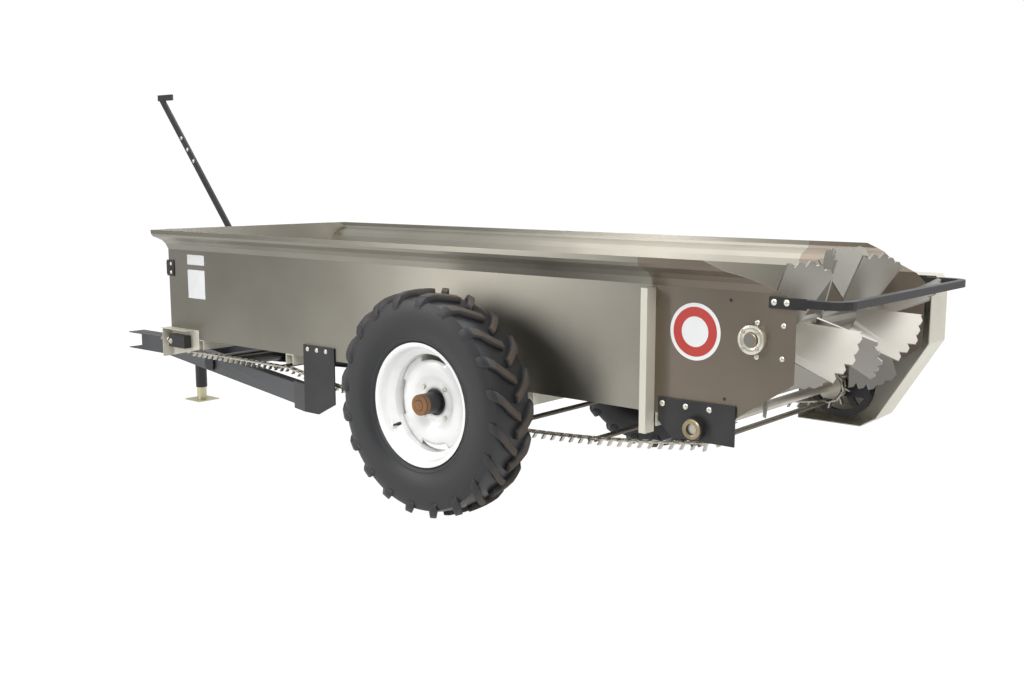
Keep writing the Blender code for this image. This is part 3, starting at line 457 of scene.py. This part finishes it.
# places on the side as (distance from the axle, height)
HANGER_BOLTS = ((-0.923, 0.484), (-0.864, 0.484), (-0.807, 0.484))
BEARING_PLATE_BOLTS = ((0.834, 0.483), (0.920, 0.483), (1.005, 0.483))
BAIL_STRAP_BOLTS = ((1.214, 0.835), (1.255, 0.835))
REAR_PANEL_BOLTS = ((1.159, 0.769), (1.245, 0.766), (1.159, 0.665), (1.243, 0.667))
AXLE_MOUNT_BOLTS = ((-0.06, 0.53), (0.06, 0.53))
# Black discs where open holes show the shaded inside: painted shade, not holes cut through.
PANEL_HOLE_SHADES = ((1.069, 0.830, 0.0055), (1.055, 0.524, 0.0055),
               (0.760, 0.845, 0.004))   # and the hole's radius
PLATE_HOLE_SHADE = (1.076, 0.395)
PLATE_HOLE_SHADE_RADIUS = 0.007


def side_bolts(word, side):
    """Domed bolts on the side walls, brackets and plates, by (from the axle, height)."""
    bm = bmesh.new()
    turn = "X" if side > 0 else "-X"
    for y, z in HANGER_BOLTS + BEARING_PLATE_BOLTS + BAIL_STRAP_BOLTS:
        carriage_head(bm, (side * PLATE_X, AXLE_Y + y, z), turn, 0.0100)
    for y, z in REAR_PANEL_BOLTS:
        carriage_head(bm, (side * WALL_OUT, AXLE_Y + y, z), turn, 0.0085)
    for y, z in AXLE_MOUNT_BOLTS:
        hex_head(bm, (side * PLATE_X, AXLE_Y + y, z), turn)
    piece("side_bolts_" + word, bm, ZINC, "spreader")

    # Flat black discs on the wall and plate: painted shade standing for the dark seen through the holes.
    bm = bmesh.new()
    for y, z, radius in PANEL_HOLE_SHADES:
        add_turned(bm, [(0, 0.0005), (radius, 0.0005), (radius, -0.0004), (0, -0.0004)],
                   (side * WALL_OUT, AXLE_Y + y, z), turn, 18)
    y, z = PLATE_HOLE_SHADE
    radius = PLATE_HOLE_SHADE_RADIUS
    add_turned(bm, [(0, 0.0005), (radius, 0.0005), (radius, -0.0004), (0, -0.0004)],
               (side * PLATE_X, AXLE_Y + y, z), turn, 18)
    piece("hole_shade_discs_" + word, bm, RUBBER, "spreader")


def shaft_ends(word, side):
    """Turned ring with four nuts on the beater bearing, and the bronze ring of the apron bearing."""
    turn = "X" if side > 0 else "-X"
    at = middle("beater_bearing_" + word)
    bm = bmesh.new()
    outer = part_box("beater_bearing_left")[1][0]
    ring = [(0.0225, 0.0005), (0.0290, 0.0045), (0.0400, 0.0045), (0.0440, 0.0020), (0.0445, -0.0040),
            (0.0225, -0.0040)]
    add_turned(bm, ring, (side * outer, at.y, at.z), turn, 40, closed=True)
    for quarter in range(4):
        angle = math.radians(45 + 90 * quarter)
        hex_head(bm, (side * (outer + 0.003), at.y + 0.034 * math.cos(angle), at.z + 0.034 * math.sin(angle)),
                 turn,
                 0.0055, 0.004)
    piece("beater_flange_" + word, bm, ZINC, "spreader")
    bm = bmesh.new()
    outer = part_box("apron_bearing_left")[1][0]
    at = middle("apron_bearing_left")
    ring = [(0.0185, 0.0010), (0.0230, 0.0030), (0.0300, 0.0030), (0.0325, 0.0), (0.0185, -0.0020)]
    add_turned(bm, ring, (side * outer, at.y, at.z), turn, 32, closed=True)
    piece("apron_ring_" + word, bm, BRASSY, "spreader")


for word, side in SIDES:
    side_bolts(word, side)
    shaft_ends(word, side)

bm = bmesh.new()
shaft_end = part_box("beater")[1][0]
add_turned(bm, [(0, 0.0), (0.0195, 0.0), (0.0215, -0.002), (0.0215, -0.0045), (0.0, -0.0045)],
           (shaft_end - 0.0001, middle("beater_bearing_left").y, middle("beater_bearing_left").z), "X", 28)
piece("beater_shaft_end", bm, BRASSY, "beater")


# ---------------------------------------------------------------- labels and marker, all blank
def thin_plate(name, made, x, y, z, thick=0.0006, bevel=0.0002):
    bm = bmesh.new()
    add_box(bm, (x, y[0], z[0]), (x + thick, y[1], z[1]), bevel)
    return piece(name, bm, made, "spreader")


for number, (z_lo, z_hi) in enumerate(((0.795, 0.841), (0.640, 0.772)), 1):
    thin_plate(f"blank_plate_{number}", LABEL, WALL_OUT + 0.0002, (AXLE_Y - 1.777, AXLE_Y - 1.645),
               (z_lo, z_hi))

MARKER = (WALL_OUT, AXLE_Y + 0.946, 0.723)
bm = bmesh.new()
add_turned(bm, [(0.0480, 0.0010), (0.0780, 0.0010), (0.0780, 0.0016), (0.0480, 0.0016)],
           MARKER, "X", 56, closed=True)
piece("marker_ring", bm, RED, "spreader")
bm = bmesh.new()
add_turned(bm, [(0, 0.0010), (0.0900, 0.0010), (0.0905, 0.0002), (0, 0.0002)], MARKER, "X", 56)
piece("marker_disc", bm, LABEL, "spreader")


# ---------------------------------------------------------------- apron chain links
CHAIN_X = 0.450
IDLER = middle("idler_shaft")
DRIVE = middle("apron_shaft")
PITCH_R = 0.057
LEVEL_END = AXLE_Y - 1.110
SAG = 0.078
LINK = 0.041


def chain_points():
    """Pitch line of the chain as evenly spaced places with their running direction."""
    path = []
    drive_z, idler_z = DRIVE.z, IDLER.z
    for i in range(25):
        angle = math.radians(90 - 180 * i / 24)
        path.append(Vector((0, DRIVE.y + PITCH_R * math.cos(angle), drive_z + PITCH_R * math.sin(angle))))
    for i in range(1, 41):
        share = 1 - i / 40
        y = LEVEL_END + (DRIVE.y - LEVEL_END) * share
        front, rear = idler_z - PITCH_R, drive_z - PITCH_R
        path.append(Vector((0, y, front + (rear - front) * share - SAG * 4 * share * (1 - share))))
    for i in range(25):
        angle = math.radians(270 - 180 * i / 24)
        path.append(Vector((0, IDLER.y + PITCH_R * math.cos(angle), idler_z + PITCH_R * math.sin(angle))))
    path.append(path[0].copy())
    lengths = [(b - a).length for a, b in zip(path, path[1:])]
    count = round(sum(lengths) / LINK)
    step = sum(lengths) / count
    spots, reach, index = [], 0.0, 0
    for number in range(count):
        target = number * step
        while reach + lengths[index] < target:
            reach += lengths[index]
            index += 1
        run = (path[index + 1] - path[index]).normalized()
        spots.append((path[index] + run * (target - reach), run))
    return spots, step


def link_template(step):
    """A hooked, open steel link lying along +Y with its hook below."""
    bm = bmesh.new()
    for hand in (-1, 1):
        add_box(bm, (hand * 0.0125 - 0.0022, -step * 0.48, -0.0035),
                (hand * 0.0125 + 0.0022, step * 0.40, 0.0035), 0.0012)
    add_turned(bm, [(0, 0.0135), (0.0036, 0.0135), (0.0036, -0.0135), (0, -0.0135)], (0, -step * 0.46, 0),
               "X", 8)
    add_turned(bm, [(0, 0.0115), (0.0048, 0.0115), (0.0048, -0.0115), (0, -0.0115)], (0, step * 0.42, 0.001),
               "X", 8)
    hook = bmesh.new()
    bmesh.ops.create_cube(hook, size=1, matrix=Matrix.Diagonal((0.017, 0.0055, 0.026, 1)))
    bmesh.ops.transform(hook,
                        matrix=Matrix.Translation((0, step * 0.34, 0.0115)) @ Matrix.Rotation(-0.6, 4, "X"),
                        verts=hook.verts)
    mesh = bpy.data.meshes.new("hook")
    hook.to_mesh(mesh)
    hook.free()
    bm.from_mesh(mesh)
    mesh_out = bpy.data.meshes.new("link")
    bmesh.ops.recalc_face_normals(bm, faces=bm.faces)
    bm.to_mesh(mesh_out)
    bm.free()
    return mesh_out


def chains():
    spots, step = chain_points()
    template = link_template(step)
    bm = bmesh.new()
    for place_x in (-CHAIN_X, CHAIN_X):
        for spot, run in spots:
            before = len(bm.verts)
            bm.from_mesh(template)
            bm.verts.ensure_lookup_table()
            turn = Matrix.Rotation(math.atan2(run.z, run.y), 4, "X")
            bmesh.ops.transform(bm, matrix=Matrix.Translation((place_x, spot.y, spot.z)) @ turn,
                                verts=bm.verts[before:])
    links = piece("apron_links", bm, CHAIN_STEEL, "spreader")
    bm = bmesh.new()
    slat_step = len(spots) / 14
    for number in range(14):
        spot, run = spots[int(round(5 + number * slat_step)) % len(spots)]
        turn = Matrix.Rotation(math.atan2(run.z, run.y), 4, "X")
        bar = bmesh.new()
        bmesh.ops.create_cube(bar, size=1, matrix=Matrix.Diagonal((0.93, 0.030, 0.004, 1)))
        for hand in (-1, 1):
            rib = Matrix.Translation((0, hand * 0.013, 0.003)) @ Matrix.Diagonal((0.93, 0.004, 0.010, 1))
            bmesh.ops.create_cube(bar, size=1, matrix=rib)
        lift = Matrix.Translation((0, 0, 0.0035))
        place = Matrix.Translation((0, spot.y, spot.z)) @ turn @ lift
        bmesh.ops.transform(bar, matrix=place, verts=bar.verts)
        mesh = bpy.data.meshes.new("bar")
        bar.to_mesh(mesh)
        bar.free()
        bm.from_mesh(mesh)
    piece("apron_slats", bm, SLAT_STEEL, "spreader", smooth=False)
    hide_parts("apron")


chains()


# ---------------------------------------------------------------- take-up nuts, clip, lever bolts
for word, side in SIDES:
    bm = bmesh.new()
    turn = "X" if side > 0 else "-X"
    block_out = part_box("takeup_block_left")[1][0]
    hex_head(bm, (side * block_out, AXLE_Y - 1.876, 0.4325), turn, 0.0095, 0.007)
    rod_x = side * (WALL_X + 0.023)
    for y, way in ((AXLE_Y - 1.934, "-Y"), (AXLE_Y - 1.922, "Y")):
        add_turned(bm, [(0, 0.007), (0.0105, 0.007), (0.0118, 0.0055), (0.0118, 0), (0, 0)],
                   (rod_x, y, 0.435), way, 6)
    for turn_number in range(22):
        y = AXLE_Y - 1.980 + turn_number * 0.0022
        add_turned(bm, [(0.0056, -0.0006), (0.0066, 0), (0.0056, 0.0006)], (rod_x, y, 0.435), "Y", 12,
                   closed=True)
    piece("takeup_nuts_" + word, bm, ZINC, "spreader")

bm = bmesh.new()
add_box(bm, (WALL_OUT, AXLE_Y - 1.940, 0.735), (WALL_OUT + 0.004, AXLE_Y - 1.885, 0.810), 0.001)
add_box(bm, (WALL_OUT - 0.030, AXLE_Y - 1.944, 0.742), (WALL_OUT + 0.004, AXLE_Y - 1.9395, 0.803), 0.001)
piece("corner_clip", bm, BLACK, "spreader")
bm = bmesh.new()
for z in (0.752, 0.792):
    carriage_head(bm, (WALL_OUT + 0.004, AXLE_Y - 1.908, z), "X", 0.008)
piece("corner_clip_bolts", bm, ZINC, "spreader")

pivot = Vector((middle("lever").x, AXLE_Y - 1.990, 0.490))
top = Vector((middle("lever").x, AXLE_Y - 2.952, 1.634))
bm = bmesh.new()
for share in (0.80, 0.745, 0.69):
    spot = pivot.lerp(top, share)
    for way, sign in (("X", 1), ("-X", -1)):
        carriage_head(bm, (spot.x + sign * 0.006, spot.y, spot.z), way, 0.0105)
piece("lever_bolts", bm, ZINC, "lever")


# ---------------------------------------------------------------- guard bolts and inner wall bolts
bm = bmesh.new()
guard_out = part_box("drive_guard")[0][0]
for y, z in ((1.00, 0.35), (0.86, 0.55), (1.24, 0.72), (0.90, 0.80), (1.15, 0.50)):
    hex_head(bm, (guard_out + 0.0002, AXLE_Y + y, z), "-X", 0.008, 0.0)
inner = WALL_OUT - 0.003
for y, z in ((-0.207, 0.83), (-0.169, 0.825), (0.746, 0.83), (1.044, 0.825), (-1.2, 0.83), (-0.9, 0.52),
             (0.3, 0.52)):
    for side, way in ((1, "-X"), (-1, "X")):
        carriage_head(bm, (side * inner, AXLE_Y + y, z), way, 0.007)
piece("wall_and_guard_bolts", bm, ZINC, "spreader")


# ---------------------------------------------------------------- stage, lights and camera
def seen_rays(tree):
    """One for camera, glossy and transmission rays, nought for the light that fills the scene."""
    rays = tree.nodes.new("ShaderNodeLightPath")
    total = rays.outputs["Is Camera Ray"]
    for kind in ("Is Glossy Ray", "Is Transmission Ray"):
        both = tree.nodes.new("ShaderNodeMath")
        both.operation = "MAXIMUM"
        tree.links.new(total, both.inputs[0])
        tree.links.new(rays.outputs[kind], both.inputs[1])
        total = both.outputs[0]
    return total


def plain(name, colour):
    made, tree, shader = shader_of(name)
    shader.inputs["Base Color"].default_value = (*colour, 1)
    shader.inputs["Roughness"].default_value = 0.9
    out = tree.nodes["Material Output"]
    mix = tree.nodes.new("ShaderNodeMixShader")
    glow = tree.nodes.new("ShaderNodeEmission")
    glow.inputs["Strength"].default_value = 1.12
    share = tree.nodes.new("ShaderNodeMath")
    share.operation = "MULTIPLY"
    share.inputs[1].default_value = 0.88
    tree.links.new(seen_rays(tree), share.inputs[0])
    tree.links.new(share.outputs[0], mix.inputs["Fac"])
    tree.links.new(shader.outputs[0], mix.inputs[1])
    tree.links.new(glow.outputs[0], mix.inputs[2])
    tree.links.new(mix.outputs[0], out.inputs["Surface"])
    return made


bm = bmesh.new()
bmesh.ops.create_grid(bm, x_segments=1, y_segments=1, size=30)
floor_mesh = bpy.data.meshes.new("studio_floor")
bm.to_mesh(floor_mesh)
bm.free()
floor = bpy.data.objects.new("studio_floor", floor_mesh)
floor_mesh.materials.append(plain("studio_floor", (0.80, 0.80, 0.79)))
floor.location.z = -0.0005
bpy.context.scene.collection.objects.link(floor)


RING_RADIUS = 3.6
RING_HEIGHT = 1.9
RING_BANDS = (  # (bearing from +X toward +Y in degrees, brightness)
    (-180, 0.45), (180, 0.45), (-165, 0.85), (-150, 0.40), (-118, 0.75), (-100, 0.55), (-75, 0.62),
    (-58, 0.50),
    (-40, 0.40), (-32, 0.60), (-28, 2.6), (-23, 2.6), (-19, 0.50), (-14, 0.26), (10, 0.28), (35, 0.45),
    (60, 0.75), (90, 0.42),
    (120, 0.70), (145, 0.40), (160, 0.75),
)


def reflection_ring():
    """A low ring of grey and bright panels that only polished surfaces see."""
    bm = bmesh.new()
    bmesh.ops.create_circle(bm, segments=96, radius=RING_RADIUS)
    made = bmesh.ops.extrude_edge_only(bm, edges=bm.edges[:])
    raised = [v for v in made["geom"] if isinstance(v, bmesh.types.BMVert)]
    bmesh.ops.translate(bm, vec=(0, 0, RING_HEIGHT), verts=raised)
    mesh = bpy.data.meshes.new("reflection_ring")
    bm.to_mesh(mesh)
    bm.free()
    material = bpy.data.materials.new("reflection_ring")
    material.use_nodes = True
    tree = material.node_tree
    tree.nodes.remove(tree.nodes["Principled BSDF"])
    place = tree.nodes.new("ShaderNodeTexCoord")
    parts = tree.nodes.new("ShaderNodeSeparateXYZ")
    tree.links.new(place.outputs["Object"], parts.inputs[0])
    bearing = tree.nodes.new("ShaderNodeMath")
    bearing.operation = "ARCTAN2"
    tree.links.new(parts.outputs["Y"], bearing.inputs[0])
    tree.links.new(parts.outputs["X"], bearing.inputs[1])
    share = tree.nodes.new("ShaderNodeMapRange")
    share.inputs["From Min"].default_value = -math.pi
    share.inputs["From Max"].default_value = math.pi
    tree.links.new(bearing.outputs[0], share.inputs["Value"])
    bands = tree.nodes.new("ShaderNodeValToRGB")
    tree.links.new(share.outputs["Result"], bands.inputs["Fac"])
    for index, (bearing_deg, value) in enumerate(RING_BANDS):
        position = (bearing_deg + 180) / 360
        if index < 2:
            stop = bands.color_ramp.elements[index]
            stop.position = position
        else:
            stop = bands.color_ramp.elements.new(position)
        stop.color = (value, value, value, 1)
    glow = tree.nodes.new("ShaderNodeEmission")
    tree.links.new(bands.outputs["Color"], glow.inputs["Color"])
    tree.links.new(glow.outputs[0], tree.nodes["Material Output"].inputs["Surface"])
    mesh.materials.append(material)
    ring = bpy.data.objects.new("reflection_ring", mesh)
    bpy.context.scene.collection.objects.link(ring)
    ring.visible_camera = False
    ring.visible_diffuse = False
    ring.visible_shadow = False
    ring.visible_transmission = False


reflection_ring()


def softbox(name, place, aim, size, power):
    lamp = bpy.data.lights.new(name, "AREA")
    lamp.shape = "RECTANGLE"
    lamp.size, lamp.size_y = size
    lamp.energy = power
    obj = bpy.data.objects.new(name, lamp)
    obj.location = place
    obj.rotation_euler = (Vector(aim) - Vector(place)).to_track_quat("-Z", "Y").to_euler()
    bpy.context.scene.collection.objects.link(obj)
    return obj


softbox("key", (3.5, 4.5, 5.0), (0, 0.5, 0.5), (3.0, 3.0), 260)
softbox("top", (0.0, -0.5, 6.0), (0, 0, 0), (6.0, 6.0), 260)
softbox("front_strip", (4.4, -2.7, 2.4), (0.5, 0.87, 0.7), (0.6, 3.0), 90)
softbox("rear", (-3.0, 5.5, 3.0), (0, 1.5, 0.6), (3.0, 2.0), 120)

world = bpy.data.worlds.new("studio")
bpy.context.scene.world = world
world.use_nodes = True
tree = world.node_tree
background = tree.nodes["Background"]
shade = tree.nodes.new("ShaderNodeMix")
shade.data_type = "RGBA"
shade.inputs["A"].default_value = (0.42, 0.42, 0.43, 1)
shade.inputs["B"].default_value = (1, 1, 1, 1)
tree.links.new(seen_rays(tree), shade.inputs["Factor"])
tree.links.new(shade.outputs["Result"], background.inputs["Color"])
background.inputs["Strength"].default_value = 1.0

SENSOR = 36.0
LENS = 40.1987
camera_data = bpy.data.cameras.new("camera")
camera_data.sensor_width = SENSOR
camera_data.lens = LENS
camera = bpy.data.objects.new("camera", camera_data)
YAW, PITCH = math.radians(40.504), math.radians(8.3487)
forward = Vector((-math.cos(YAW) * math.cos(PITCH), -math.sin(YAW) * math.cos(PITCH), -math.sin(PITCH)))
camera.location = (3.5441, AXLE_Y + 2.7989, 1.2055)
camera.rotation_euler = forward.to_track_quat("-Z", "Y").to_euler()
bpy.context.scene.collection.objects.link(camera)
bpy.context.scene.camera = camera
bpy.context.scene.view_settings.view_transform = "Standard"
